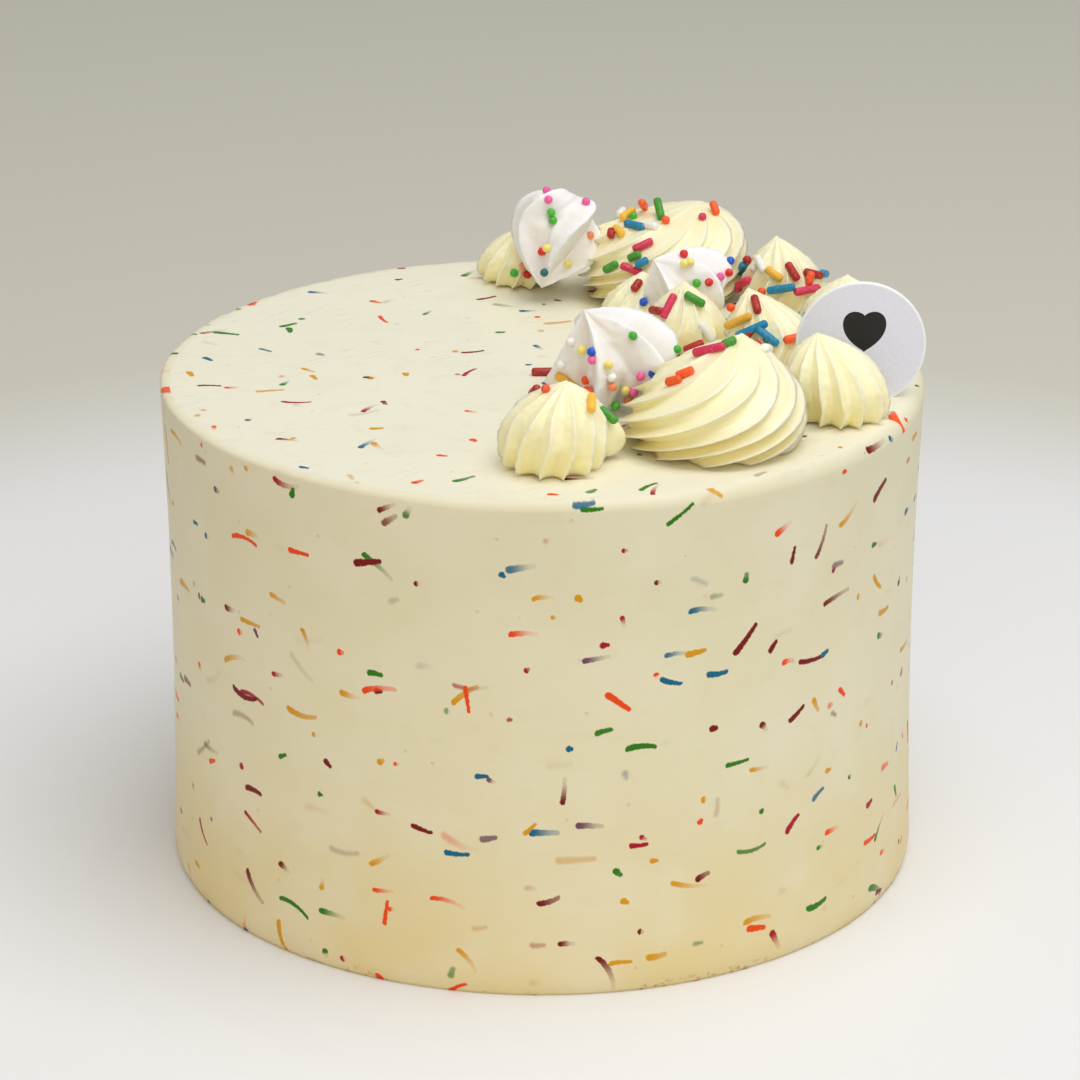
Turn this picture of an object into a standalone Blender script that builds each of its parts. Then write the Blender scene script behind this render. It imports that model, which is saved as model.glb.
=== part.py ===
"""A small tall birthday cake: a smooth iced cylinder with piped swirls, three meringues,
a round card tag and sprinkles set in a crescent along the right and back of its top.
Lengths are given in millimetres and turned into metres by MM. The photo's right is +X
and the photo's far side is +Y."""

import math

import bmesh
import bpy
from mathutils import Matrix, Vector

MM = 0.001

CAKE_RADIUS = 76.0
CAKE_HEIGHT = 100.6
CAKE_WAIST = 1.0
CAKE_WAIST_HEIGHT = 52.0
CAKE_FOOT_CHAMFER = 0.8
RIM_RADIUS = 3.6
RIM_STEPS = 4
CAKE_STEPS = 72

SHARP_ANGLE = math.radians(38)

SEAT_GAP = 0.3
NEIGHBOUR_WIDER = 1.05
NEIGHBOUR_TALLER = 1.03
NEIGHBOUR_GROOVE = 0.8

TAG_RADIUS = 12.7
TAG_THICKNESS = 1.0
TAG_AT = (62.0, -15.8)
TAG_SUNK = 2.2
TAG_EDGE = 0.2
SLOT_GAP = 0.3

JIMMY_RADIUS = 0.85
JIMMY_SIDES = 6
JIMMY_DOME = 0.3
BALL_RADIUS = 0.88
SPRINKLE_SINK = 0.3
WIDE_SWIRL = 14.0

BUD_AT = (11.4, -51.4, 4.8)
BUD_RADII = (3.7, 3.8, 4.6)

# Piped swirls and meringues: centre of the foot, widest radius, height, number of ridges,
# depth of the grooves as a share of the radius, turn of the ridges from foot to peak in
# degrees, offset of the peak, mesh rows, mesh columns for each ridge. A skew below 1 makes
# the folds of a rosette overlap like tiles, and a crest above 1 makes them round.
SWIRLS = {
    "piped_star_front_left": dict(
        at=(2.2, -55.3), radius=10.6, height=16.0, ridges=13, groove=0.17, turn=26,
        lean=(2.2, 0.6), rows=9, columns=3, full=4.2, phase=4),
    "piped_rosette_front": dict(
        at=(32.2, -42.0), radius=18.4, height=19.6, ridges=11, groove=0.14, turn=145,
        lean=(5.6, 4.5), rows=13, columns=3, full=2.9, phase=0, skew=0.7),
    "piped_star_right": dict(
        at=(57.4, -27.4), radius=10.2, height=15.7, ridges=14, groove=0.17, turn=26,
        lean=(-4.6, 2.2), rows=9, columns=3, full=4.0, phase=10),
    "piped_star_middle": dict(
        at=(29.0, 15.0), radius=9.4, height=13.2, ridges=13, groove=0.18, turn=18,
        lean=(-0.4, 0.8), rows=7, columns=2, full=2.3, phase=0),
    "piped_star_centre_right": dict(
        at=(46.2, 7.0), radius=10.0, height=13.6, ridges=13, groove=0.17, turn=40,
        lean=(-5.0, 3.0), rows=7, columns=2, full=2.6, phase=8),
    "piped_star_far_right": dict(
        at=(61.2, 24.6), radius=9.2, height=11.8, ridges=12, groove=0.17, turn=20,
        lean=(1.0, 0.0), rows=6, columns=2, full=2.6, phase=3),
    "piped_star_back_right": dict(
        at=(50.6, 42.6), radius=9.8, height=14.4, ridges=13, groove=0.17, turn=24,
        lean=(-2.0, 0.6), rows=7, columns=2, full=2.4, phase=5),
    "piped_rosette_back": dict(
        at=(25.4, 51.4), radius=17.6, height=18.0, ridges=12, groove=0.13, turn=140,
        lean=(7.4, 5.0), rows=10, columns=3, full=4.0, phase=12, skew=0.7),
    "piped_star_hidden": dict(
        at=(20.6, 29.5), radius=9.0, height=10.6, ridges=12, groove=0.17, turn=25,
        lean=(0.0, 1.0), rows=5, columns=2, full=2.6, phase=2),
    "piped_star_back_left": dict(
        at=(-4.4, 60.2), radius=9.6, height=11.2, ridges=13, groove=0.17, turn=20,
        lean=(0.0, 0.0), rows=6, columns=2, full=2.8, phase=7),
}

# Meringues are piped swirls with few, deep folds, lying tilted on the swirls: at and lift
# place the middle of the flat base, and tilt gives the compass angle and the angle from
# upright of the line from there to the tip.
MERINGUES = {
    "meringue_front": dict(
        at=(16.0, -20.0), lift=4.5, tilt=(222, 28), radius=13.6, height=18.5, ridges=5,
        groove=0.38, turn=44, lean=(0.0, 0.0), rows=9, columns=6, full=3.0, phase=12,
        crest=1.15, tuck=0.3),
    "meringue_back_left": dict(
        at=(5.0, 53.5), lift=19.3, tilt=(246, 142), radius=11.8, height=20.3, ridges=5,
        groove=0.34, turn=34, lean=(0.0, 0.0), rows=9, columns=6, full=2.6, phase=-18,
        crest=1.15, tuck=0.3),
    "meringue_middle": dict(
        at=(32.4, 27.0), lift=5.0, tilt=(205, 42), radius=11.0, height=15.0, ridges=5,
        groove=0.36, turn=40, lean=(0.0, 0.0), rows=8, columns=6, full=2.6, phase=12,
        crest=1.15, tuck=0.25),
}

# Sprinkles on each topping: colour, compass angle and rise of its place there, and for a
# rod also its heading on the skin, with 0 level and 90 uphill, its length, and how far it
# stands out of the skin in degrees. Three values make a ball.
SPRINKLES = {
    "piped_star_front_left": (
        ("yellow", 327, 0.61, 25, 5.0, 0), ("brown", 130, 0.56, 60, 4.0, 0),
        ("orange", 108, 0.59)),
    "piped_rosette_front": (
        ("raspberry", 176, 0.71, 50, 6.5, 0), ("green", 165, 0.79, 60, 3.4, 0),
        ("orange", 204, 0.56, 65, 3.4, 0), ("orange", 207, 0.43, 30, 3.6, 0),
        ("white", 27, 0.63, 150, 6.0, 0)),
    "piped_star_middle": (
        ("brown", 195, 0.40, 20, 3.8, 0), ("raspberry", 230, 0.50, 105, 5.6, 0),
        ("green", 296, 0.60, 130, 4.6, 0), ("white", 300, 0.24, 115, 4.6, 0),
        ("brown", 275, 0.12, 25, 4.2, 0)),
    "piped_star_centre_right": (
        ("brown", 275, 0.62, 75, 4.6, 0), ("yellow", 220, 0.44, 35, 6.2, 0),
        ("teal", 245, 0.38, 30, 7.0, 4), ("teal", 285, 0.26, 155, 5.6, 0),
        ("orange", 315, 0.34, 0, 5.6, 0), ("teal", 5, 0.34, 30, 5.0, 0), ("green", 240, 0.22),
        ("red", 252, 0.25), ("teal", 264, 0.30)),
    "piped_star_far_right": (
        ("teal", 150, 0.42, 10, 4.0, 0), ("yellow", 345, 0.20)),
    "piped_star_back_right": (
        ("brown", 322, 0.36, 155, 4.6, 0), ("brown", 284, 0.42, 105, 4.4, 0),
        ("orange", 306, 0.33, 60, 3.0, 25), ("raspberry", 305, 0.16, 175, 6.4, 0),
        ("teal", 264, 0.26, 15, 6.0, 0), ("yellow", 252, 0.40, 145, 4.2, 0),
        ("white", 222, 0.50, 140, 4.6, 0), ("raspberry", 222, 0.24, 20, 4.6, 0),
        ("orange", 236, 0.18), ("red", 210, 0.42), ("white", 202, 0.40)),
    "piped_rosette_back": (
        ("orange", 173, 0.54, 120, 6.4, 50), ("green", 185, 0.62, 90, 6.4, 60),
        ("teal", 178, 0.53, 20, 5.6, 0), ("white", 207, 0.63, 25, 3.6, 0),
        ("yellow", 195, 0.46, 61, 5.4, 6), ("brown", 204, 0.33, 30, 3.4, 0),
        ("raspberry", 219, 0.49, 30, 5.0, 0), ("green", 213, 0.34, 30, 6.4, 0),
        ("raspberry", 240, 0.32, 150, 4.6, 0), ("orange", 325, 0.75, 80, 3.2, 40),
        ("teal", 307, 0.30, 60, 4.6, 0), ("orange", 209, 0.67), ("raspberry", 301, 0.73),
        ("green", 189, 0.52), ("red", 295, 0.36)),
    "piped_star_hidden": (
        ("brown", 250, 0.62, 75, 3.0, 0),),
    "piped_star_back_left": (
        ("peach", 272, 0.30), ("green", 262, 0.20), ("red", 280, 0.18), ("yellow", 240, 0.76)),
    "meringue_front": (
        ("yellow", 204, 0.30, 135, 5.2, 0), ("orange", 211, 0.12), ("orange", 220, 0.24),
        ("green", 325, 0.47), ("yellow", 219, 0.55), ("blue", 233, 0.52), ("pink", 237, 0.41),
        ("yellow", 269, 0.47), ("pink", 300, 0.24), ("blue", 312, 0.27), ("peach", 265, 0.31),
        ("yellow", 274, 0.25), ("green", 257, 0.11), ("white", 263, 0.39), ("pink", 286, 0.27),
        ("white", 208, 0.70), ("white", 199, 0.43)),
    "meringue_back_left": (
        ("pink", 71, 0.11), ("pink", 63, 0.17), ("green", 59, 0.22), ("green", 54, 0.28),
        ("red", 67, 0.53), ("yellow", 55, 0.48), ("teal", 40, 0.71), ("yellow", 334, 0.51),
        ("peach", 322, 0.23), ("pink", 348, 0.12)),
    "meringue_middle": (
        ("red", 24, 0.52), ("yellow", 334, 0.62), ("yellow", 330, 0.54), ("blue", 26, 0.12),
        ("pink", 6, 0.12), ("green", 308, 0.35), ("green", 298, 0.35), ("red", 314, 0.29),
        ("blue", 252, 0.63)),
}

# Two more lie on the bare icing: one flat by the front meringue and one upright on the
# rim: colour, place, heading in the level plane, slope and length.
ICING_SPRINKLES = (
    ("brown", (0.2, -3.2, 0.55), 0, 0, 4.6),
    ("orange", (68.3, -29.6, -1.0), -24, 58, 4.6),
)

for stale in list(bpy.data.objects):
    bpy.data.objects.remove(stale, do_unlink=True)

cake = bpy.data.collections.new("birthday_cake")
bpy.context.scene.collection.children.link(cake)
cutters = bpy.data.collections.new("cutters")
bpy.context.scene.collection.children.link(cutters)


def finish(name, colour, roughness):
    """A plain Principled material."""
    material = bpy.data.materials.new(name)
    material.use_nodes = True
    shader = material.node_tree.nodes["Principled BSDF"]
    shader.inputs["Base Color"].default_value = (*colour, 1.0)
    shader.inputs["Roughness"].default_value = roughness
    return material


ICING = finish("icing", (0.86, 0.82, 0.66), 0.55)
BUTTERCREAM = finish("buttercream", (0.94, 0.87, 0.58), 0.5)
MERINGUE = finish("meringue", (0.88, 0.87, 0.85), 0.85)
CARD = finish("card", (0.74, 0.72, 0.78), 0.5)


def new_object(name, bm, material, collection):
    """Turn a bmesh into a named object with one material."""
    bmesh.ops.recalc_face_normals(bm, faces=bm.faces)
    mesh = bpy.data.meshes.new(name)
    bm.to_mesh(mesh)
    bm.free()
    mesh.materials.append(material)
    made = bpy.data.objects.new(name, mesh)
    collection.objects.link(made)
    return made


def apply_modifiers(target):
    """Bake the modifiers of an object into its mesh."""
    bpy.context.view_layer.update()
    graph = bpy.context.evaluated_depsgraph_get()
    baked = bpy.data.meshes.new_from_object(target.evaluated_get(graph))
    target.modifiers.clear()
    target.data = baked


def swirl_point(swirl, column, rise):
    """A point on a piped swirl's skin. The column is an angle round the foot that follows
    the ridges, and rise runs from 0 at the foot to 1 at the peak."""
    height = 1 - (1 - rise) ** 1.6
    turned = column + math.radians(swirl["turn"]) * (1 - (1 - height) ** 2)
    groove = swirl["groove"] * (1 + 0.5 * (1 - height) ** 6)
    share = (swirl["ridges"] * column / math.tau) % 1.0
    hollow = max(0.0, math.sin(math.pi * share ** swirl.get("skew", 1.0)))
    fluting = 1 - groove * hollow ** swirl.get("crest", 0.8)
    foot = 1 - swirl.get("tuck", 0.1) * math.exp(-height / 0.07)
    outline = (1 - height ** swirl["full"]) ** 1.1 * foot
    uneven = 1 + 0.025 * math.sin(column + swirl["phase"]) + 0.02 * math.sin(3 * column)
    reach = swirl["radius"] * outline * fluting * uneven
    lean = height ** 2
    angle = turned + math.radians(swirl["phase"])
    return Vector((
        reach * math.cos(angle) + swirl["lean"][0] * lean,
        reach * math.sin(angle) + swirl["lean"][1] * lean,
        swirl["height"] * height))


def swirl_place(swirl):
    """Where a swirl or meringue sits: tilted, then moved onto the top of the cake."""
    compass, angle = (math.radians(value) for value in swirl.get("tilt", (0, 0)))
    hinge = Vector((-math.sin(compass), math.cos(compass), 0))
    seat = CAKE_HEIGHT + SEAT_GAP + swirl.get("lift", 0)
    return Matrix.Translation((*swirl["at"], seat)) @ Matrix.Rotation(angle, 4, hinge)


def make_swirl(name, swirl, material, collection):
    """A sphere whose rings become the rows of a swirl: the bottom pole is the middle of
    the flat foot, the next ring its edge, and the top pole the peak."""
    rows = swirl["rows"]
    bm = bmesh.new()
    bmesh.ops.create_uvsphere(
        bm, u_segments=swirl["ridges"] * swirl["columns"], v_segments=rows + 1, radius=1)
    place = swirl_place(swirl)
    for vertex in bm.verts:
        polar = math.acos(max(-1.0, min(1.0, vertex.co.z)))
        ring = round((1 - polar / math.pi) * (rows + 1))
        column = math.atan2(-vertex.co.x, vertex.co.y)
        if ring == 0:
            point = Vector((0, 0, 0))
        else:
            point = swirl_point(swirl, column, (ring - 1) / rows)
        vertex.co = (place @ point) * MM
    bmesh.ops.remove_doubles(bm, verts=bm.verts, dist=0.00005)
    return new_object(name, bm, material, collection)


def cake_profile():
    """The half outline of the cake, from the middle of the top to the middle of the base."""
    points = [(0.0, CAKE_HEIGHT)]
    flat = CAKE_RADIUS - RIM_RADIUS
    for step in range(RIM_STEPS + 1):
        angle = math.pi / 2 * (1 - step / RIM_STEPS)
        points.append((
            flat + RIM_RADIUS * math.cos(angle),
            CAKE_HEIGHT - RIM_RADIUS + RIM_RADIUS * math.sin(angle)))
    for share in (0.8, 0.6, 0.4, 0.2):
        height = share * (CAKE_HEIGHT - RIM_RADIUS)
        swell = abs(height - CAKE_WAIST_HEIGHT) / (CAKE_HEIGHT - CAKE_WAIST_HEIGHT)
        points.append((CAKE_RADIUS - CAKE_WAIST * (1 - min(1.0, swell) ** 2), height))
    points.append((CAKE_RADIUS - 0.2, 2 * CAKE_FOOT_CHAMFER))
    points.append((CAKE_RADIUS - 0.2 - CAKE_FOOT_CHAMFER, 0.0))
    points.append((0.0, 0.0))
    return points


def make_cake():
    """The iced cake, turned from its half outline."""
    bm = bmesh.new()
    outline = [bm.verts.new((x * MM, 0, z * MM)) for x, z in cake_profile()]
    for start, end in zip(outline, outline[1:]):
        bm.edges.new((start, end))
    mesh = bpy.data.meshes.new("iced_cake")
    bm.to_mesh(mesh)
    bm.free()
    mesh.materials.append(ICING)
    made = bpy.data.objects.new("iced_cake", mesh)
    cake.objects.link(made)
    turn = made.modifiers.new("turn", "SCREW")
    turn.axis = "Z"
    turn.angle = math.tau
    turn.steps = CAKE_STEPS
    turn.render_steps = CAKE_STEPS
    turn.use_merge_vertices = True
    turn.merge_threshold = 0.00005
    return made


def make_tag():
    """A round card standing on edge, facing the front."""
    bm = bmesh.new()
    bmesh.ops.create_cone(
        bm, cap_ends=True, segments=48, radius1=TAG_RADIUS * MM, radius2=TAG_RADIUS * MM,
        depth=TAG_THICKNESS * MM)
    quarter = Matrix.Rotation(math.pi / 2, 3, "X")
    bmesh.ops.rotate(bm, cent=(0, 0, 0), matrix=quarter, verts=bm.verts)
    centre = Vector((*TAG_AT, CAKE_HEIGHT + TAG_RADIUS - TAG_SUNK)) * MM
    bmesh.ops.translate(bm, vec=centre, verts=bm.verts)
    made = new_object("card_tag", bm, CARD, cake)
    edge = made.modifiers.new("edge", "BEVEL")
    edge.width = TAG_EDGE * MM
    edge.segments = 1
    edge.limit_method = "ANGLE"
    return made


def add_cutter(target, cutter):
    """Cut one object out of another and hide the cutter."""
    cutter.hide_render = True
    cutter.display_type = "WIRE"
    cut = target.modifiers.new(cutter.name, "BOOLEAN")
    cut.operation = "DIFFERENCE"
    cut.solver = "EXACT"
    cut.object = cutter


def make_rod(bm, length):
    """A six-sided rod along X with slightly domed ends."""
    bmesh.ops.create_cone(
        bm, cap_ends=True, segments=JIMMY_SIDES, radius1=JIMMY_RADIUS * MM,
        radius2=JIMMY_RADIUS * MM, depth=(length - 2 * JIMMY_DOME) * MM)
    caps = [face for face in bm.faces if len(face.verts) == JIMMY_SIDES]
    for face in caps:
        outward = face.normal.copy()
        poked = bmesh.ops.poke(bm, faces=[face])
        poked["verts"][0].co += outward * JIMMY_DOME * MM
    turn = Matrix.Rotation(math.pi / 2, 3, "Y")
    bmesh.ops.rotate(bm, cent=(0, 0, 0), matrix=turn, verts=bm.verts)


def sprinkle_place(swirl, compass, rise, heading, stand, length):
    """Where a sprinkle lies on a swirl: its long axis along X of the returned frame. A rod
    across narrow ridges rests on their crests, one along them lies lower, and a ball or
    a rod on a wide fold touches the skin itself."""
    height = 1 - (1 - rise) ** 1.6
    turned = math.radians(swirl["turn"]) * (1 - (1 - height) ** 2)
    column = math.radians(compass - swirl["phase"]) - turned
    bed = 1.0
    if length and "tilt" not in swirl:
        wide = swirl["radius"] > WIDE_SWIRL
        bed = 0.85 if wide else 0.7 - 0.4 * abs(math.cos(math.radians(heading)))
    bedded = dict(swirl, groove=swirl["groove"] * bed)
    here = swirl_point(bedded, column, rise)
    level = swirl_point(bedded, column + 0.1, rise) - swirl_point(bedded, column - 0.1, rise)
    uphill = swirl_point(bedded, column, rise + 0.03) - swirl_point(bedded, column, rise - 0.03)
    outward = level.cross(uphill).normalized()
    level.normalize()
    uphill = outward.cross(level)
    angle = math.radians(heading)
    along = level * math.cos(angle) + uphill * math.sin(angle)
    side = outward.cross(along)
    lift = math.radians(stand)
    along = along * math.cos(lift) + outward * math.sin(lift)
    up = along.cross(side)
    raised = JIMMY_RADIUS * math.cos(lift) - SPRINKLE_SINK * (1 + math.sin(lift))
    centre = here + outward * (raised + length / 2 * math.sin(lift))
    frame = Matrix((along, side, up)).transposed().to_4x4()
    return swirl_place(swirl) @ Matrix.Translation(centre) @ frame


def add_piece(bm, place, pieces, name):
    """Move one sprinkle to its place and keep it for the union."""
    bm.transform(Matrix.Diagonal((MM, MM, MM, 1)) @ place @ Matrix.Diagonal((1 / MM,) * 3 + (1,)))
    new_object(name, bm, ICING, pieces)


def fuse_sprinkles(target, name, swirl):
    """Join the sprinkles of one topping to it by a single union."""
    pieces = bpy.data.collections.new(f"{name}_sprinkles")
    bpy.context.scene.collection.children.link(pieces)
    for colour, compass, rise, *rod in SPRINKLES.get(name, ()):
        bm = bmesh.new()
        if rod:
            heading, length, stand = rod
            make_rod(bm, length)
        else:
            heading, length, stand = 0, 0, 0
            bmesh.ops.create_icosphere(bm, subdivisions=1, radius=BALL_RADIUS * MM)
        place = sprinkle_place(swirl, compass, rise, heading, stand, length)
        add_piece(bm, place, pieces, f"{name}_{colour}")
    if name == "piped_star_front_left":
        bm = bmesh.new()
        bmesh.ops.create_uvsphere(bm, u_segments=12, v_segments=8, radius=MM)
        seat = Vector((*BUD_AT[:2], BUD_AT[2] + CAKE_HEIGHT + SEAT_GAP))
        place = Matrix.Translation(seat) @ Matrix.Diagonal((*BUD_RADII, 1))
        add_piece(bm, place, pieces, f"{name}_bud")
    join(target, pieces)


def join(target, pieces):
    """Apply one Boolean union of a collection to an object and drop the collection."""
    if len(pieces.objects):
        fuse = target.modifiers.new("sprinkles", "BOOLEAN")
        fuse.operation = "UNION"
        fuse.solver = "EXACT"
        fuse.operand_type = "COLLECTION"
        fuse.collection = pieces
        material = target.data.materials[0]
        apply_modifiers(target)
        target.data.materials.clear()
        target.data.materials.append(material)
    for piece in list(pieces.objects):
        bpy.data.objects.remove(piece, do_unlink=True)
    bpy.data.collections.remove(pieces)


def fuse_to_icing(target):
    """Join the sprinkles that lie on the bare icing to the cake."""
    pieces = bpy.data.collections.new("icing_sprinkles")
    bpy.context.scene.collection.children.link(pieces)
    for colour, at, heading, slope, length in ICING_SPRINKLES:
        bm = bmesh.new()
        make_rod(bm, length)
        turn = Matrix.Rotation(math.radians(heading), 4, "Z")
        tip = Matrix.Rotation(math.radians(slope), 4, "Y")
        centre = Matrix.Translation((at[0], at[1], at[2] + CAKE_HEIGHT))
        add_piece(bm, centre @ turn @ tip, pieces, f"icing_{colour}")
    join(target, pieces)


def cut_slot(body):
    """The slot that the tag stands in, open at the top."""
    chord = 2 * math.sqrt(TAG_RADIUS ** 2 - (TAG_RADIUS - TAG_SUNK) ** 2)
    depth = TAG_SUNK + SLOT_GAP
    bm = bmesh.new()
    bmesh.ops.create_cube(bm, size=1)
    size = Vector((chord + 4 * SLOT_GAP, TAG_THICKNESS + 2 * SLOT_GAP, 2 * depth)) * MM
    bmesh.ops.scale(bm, vec=size, verts=bm.verts)
    centre = Vector((*TAG_AT, CAKE_HEIGHT)) * MM
    bmesh.ops.translate(bm, vec=centre, verts=bm.verts)
    add_cutter(body, new_object("slot", bm, ICING, cutters))


def clear_of(target, neighbours):
    """Cut a piece back from the neighbours it leans on, by slightly larger and shallower
    fluted copies of their whole forms."""
    for name, swirl in neighbours.items():
        larger = dict(
            swirl, radius=swirl["radius"] * NEIGHBOUR_WIDER,
            height=swirl["height"] * NEIGHBOUR_TALLER,
            groove=swirl["groove"] * NEIGHBOUR_GROOVE,
            lift=swirl.get("lift", 0) - SEAT_GAP / 2)
        cutter = make_swirl(f"{target.name}_clear_{name}", larger, ICING, cutters)
        add_cutter(target, cutter)
    apply_modifiers(target)


def clear_of_top(target):
    """Cut a tilted piece flat where it rests on the top of the cake."""
    bm = bmesh.new()
    bmesh.ops.create_cube(bm, size=2 * CAKE_RADIUS * MM)
    below = Vector((0, 0, CAKE_HEIGHT + SEAT_GAP - CAKE_RADIUS)) * MM
    bmesh.ops.translate(bm, vec=below, verts=bm.verts)
    add_cutter(target, new_object(f"{target.name}_seat", bm, ICING, cutters))


def touching(swirl, other):
    """Whether two swirls' outlines come within the gap of each other, seen from above."""
    apart = (Vector(swirl["at"]) - Vector(other["at"])).length
    leaning = max(Vector(swirl["lean"]).length, Vector(other["lean"]).length)
    return apart < (swirl["radius"] + other["radius"]) * NEIGHBOUR_WIDER + leaning / 3


body = make_cake()
cut_slot(body)
fuse_to_icing(body)
make_tag()
placed = {}
for name, swirl in {**SWIRLS, **MERINGUES}.items():
    material = MERINGUE if name in MERINGUES else BUTTERCREAM
    made = make_swirl(name, swirl, material, cake)
    if "tilt" in swirl:
        clear_of_top(made)
    clear_of(made, {before: other for before, other in placed.items() if touching(swirl, other)})
    fuse_sprinkles(made, name, swirl)
    placed[name] = swirl

for piece in cake.objects:
    piece.data.shade_smooth()
    piece.data.set_sharp_from_angle(angle=SHARP_ANGLE)
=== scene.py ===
"""A small tall birthday cake with confetti icing, a crescent of piped buttercream swirls,
three meringues, sprinkles and a round card tag. Lengths in the sections are millimetres."""

import math
import random

import bpy
from mathutils import Matrix, Vector, noise


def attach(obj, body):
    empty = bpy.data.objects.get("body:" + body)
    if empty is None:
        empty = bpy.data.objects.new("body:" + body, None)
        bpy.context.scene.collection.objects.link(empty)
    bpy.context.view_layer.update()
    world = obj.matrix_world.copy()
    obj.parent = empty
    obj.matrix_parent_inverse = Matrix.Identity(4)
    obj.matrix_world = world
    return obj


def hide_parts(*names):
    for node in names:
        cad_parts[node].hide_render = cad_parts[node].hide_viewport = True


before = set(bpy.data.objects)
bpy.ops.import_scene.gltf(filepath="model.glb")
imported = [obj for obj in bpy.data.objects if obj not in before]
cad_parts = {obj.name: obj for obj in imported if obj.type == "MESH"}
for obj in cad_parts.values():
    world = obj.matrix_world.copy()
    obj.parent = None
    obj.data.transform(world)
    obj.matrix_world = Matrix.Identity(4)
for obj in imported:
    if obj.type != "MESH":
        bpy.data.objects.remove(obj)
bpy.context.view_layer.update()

# The camera stands straight in front of the cake, 0.85 m away, and looks down on its top
# at about 21 degrees, as the photo does. Its place and aim are metres.
CAMERA_AT = (-0.00041, -0.79271, 0.36806)
CAMERA_AIM = (-0.00041, 0.0, 0.06424)
CAMERA_LENS = 140.06
camera = bpy.data.objects.new("camera", bpy.data.cameras.new("camera"))
bpy.context.scene.collection.objects.link(camera)
camera.data.lens = CAMERA_LENS
camera.data.sensor_width = 36.0
camera.location = CAMERA_AT
camera_view = Vector(CAMERA_AIM) - Vector(CAMERA_AT)
camera.rotation_euler = camera_view.to_track_quat("-Z", "Y").to_euler()
bpy.context.scene.camera = camera
bpy.context.scene.view_settings.view_transform = "Standard"

# Iced cake: layers of sponge under one coat of buttercream, spun smooth on a turntable
# with a scraper. The edge of the top is rounded in front and sharper, a little ragged,
# at the left and back. Rod sprinkles stirred into the icing are smeared by the scraper.
MM = 0.001
CAKE_RADIUS = 76.0
CAKE_HEIGHT = 100.6
CAKE_WAIST = 1.0
CAKE_WAIST_HEIGHT = 52.0
CAKE_SEGMENTS = 480
TOP_RINGS = 26
RIM_RINGS = 12
SIDE_RINGS = 52
FOOT_CHAMFER = 0.5
RIM_RADIUS_RIGHT = 2.9
RIM_RADIUS_LEFT = 0.9
RIM_UNEVEN = 0.25
NEAR_RIM = 97.0
BROAD_WAVES = 0.22
SCRAPER_STREAKS = 0.12
RAGGED_EDGE = 0.3
EDGE_CHIPS = 1.6
TOP_DISHING = 0.35
FLECK_LAYERS = ((28, 1), (29, 2), (27, 3), (30, 4))
FLECK_DYES = (
    (0.0, (122, 0, 4)), (0.23, (172, 0, 36)), (0.33, (240, 72, 0)), (0.52, (218, 154, 0)),
    (0.7, (44, 122, 0)), (0.9, (0, 102, 134)), (0.965, (116, 70, 92)))
BURIED_FLECK = (160, 140, 128)
# Painted reflection: the side's colour grows warmer and yellower towards the foot, standing for
# warm light bounced up from below.
ICING_FOOT_WARM_BOUNCE = (232, 211, 152)
ICING_MIDDLE = (232, 223, 186)
ICING_UPPER = (229, 222, 190)
# Painted light: the top is paler than the side because light falls on it from above.
ICING_TOP_LIT = (239, 235, 212)
ICING_CLOUD = (238, 232, 206)
ICING_THIN = (226, 212, 178)
SPONGE_CRUMB = (140, 108, 66)
ICING_ROUND = math.tau * CAKE_RADIUS
TOP_PATTERN_SHIFT = 531.0


def linear(red, green, blue):
    """A colour given as 0 to 255 screen values, as linear values with alpha."""
    parts = [value / 255 for value in (red, green, blue)]
    return (*[p / 12.92 if p < 0.04045 else ((p + 0.055) / 1.055) ** 2.4 for p in parts], 1)


def shade(tree, kind, *values, **settings):
    """Add a shader node, give it its settings and fill its inputs in order."""
    made = tree.nodes.new("ShaderNode" + kind)
    for name, value in settings.items():
        setattr(made, name, value)
    for socket, value in zip(made.inputs, values):
        if isinstance(value, bpy.types.NodeSocket):
            tree.links.new(value, socket)
        elif value is not None:
            socket.default_value = value
    return made


def sum_up(tree, operation, *values):
    """The result of one Math node."""
    return shade(tree, "Math", *values, operation=operation).outputs[0]


def step_between(tree, value, low, high, to_low=0.0, to_high=1.0):
    """A smooth step from one value to another."""
    made = shade(tree, "MapRange", value, low, high, to_low, to_high)
    made.interpolation_type = "SMOOTHSTEP"
    return made.outputs[0]


def mix_colour(tree, factor, first, second, blend="MIX"):
    """Mix two colours or the outputs that give them."""
    made = shade(tree, "Mix", data_type="RGBA", blend_type=blend)
    for socket, value in zip((made.inputs[0], made.inputs[6], made.inputs[7]),
                             (factor, first, second)):
        if isinstance(value, bpy.types.NodeSocket):
            tree.links.new(value, socket)
        else:
            socket.default_value = value
    return made.outputs[2]


def mottle(tree, place, scale, detail=2.0, roughness=0.5):
    """Soft noise of a given number of cells for each millimetre."""
    made = shade(tree, "TexNoise", place)
    made.inputs["Scale"].default_value = scale
    made.inputs["Detail"].default_value = detail
    made.inputs["Roughness"].default_value = roughness
    return made.outputs[0]


def new_group(name, inputs, outputs):
    """A shader node group with named sockets, and its input and output nodes."""
    group = bpy.data.node_groups.new(name, "ShaderNodeTree")
    for label, kind in inputs:
        group.interface.new_socket(label, in_out="INPUT", socket_type=kind)
    for label, kind in outputs:
        group.interface.new_socket(label, in_out="OUTPUT", socket_type=kind)
    return group, group.nodes.new("NodeGroupInput"), group.nodes.new("NodeGroupOutput")


def new_material(name, roughness, **sockets):
    """A material with its Principled shader, constant values set on its own sockets, and
    an output that gives the place on the piece in millimetres."""
    material = bpy.data.materials.new(name)
    material.use_nodes = True
    tree = material.node_tree
    surface = tree.nodes["Principled BSDF"]
    surface.inputs["Roughness"].default_value = roughness
    for label, value in sockets.items():
        surface.inputs[label.replace("_", " ")].default_value = value
    where = shade(tree, "TexCoord").outputs["Object"]
    place = shade(tree, "VectorMath", where, (1000.0,) * 3, operation="MULTIPLY").outputs[0]
    return material, tree, surface, place


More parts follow.
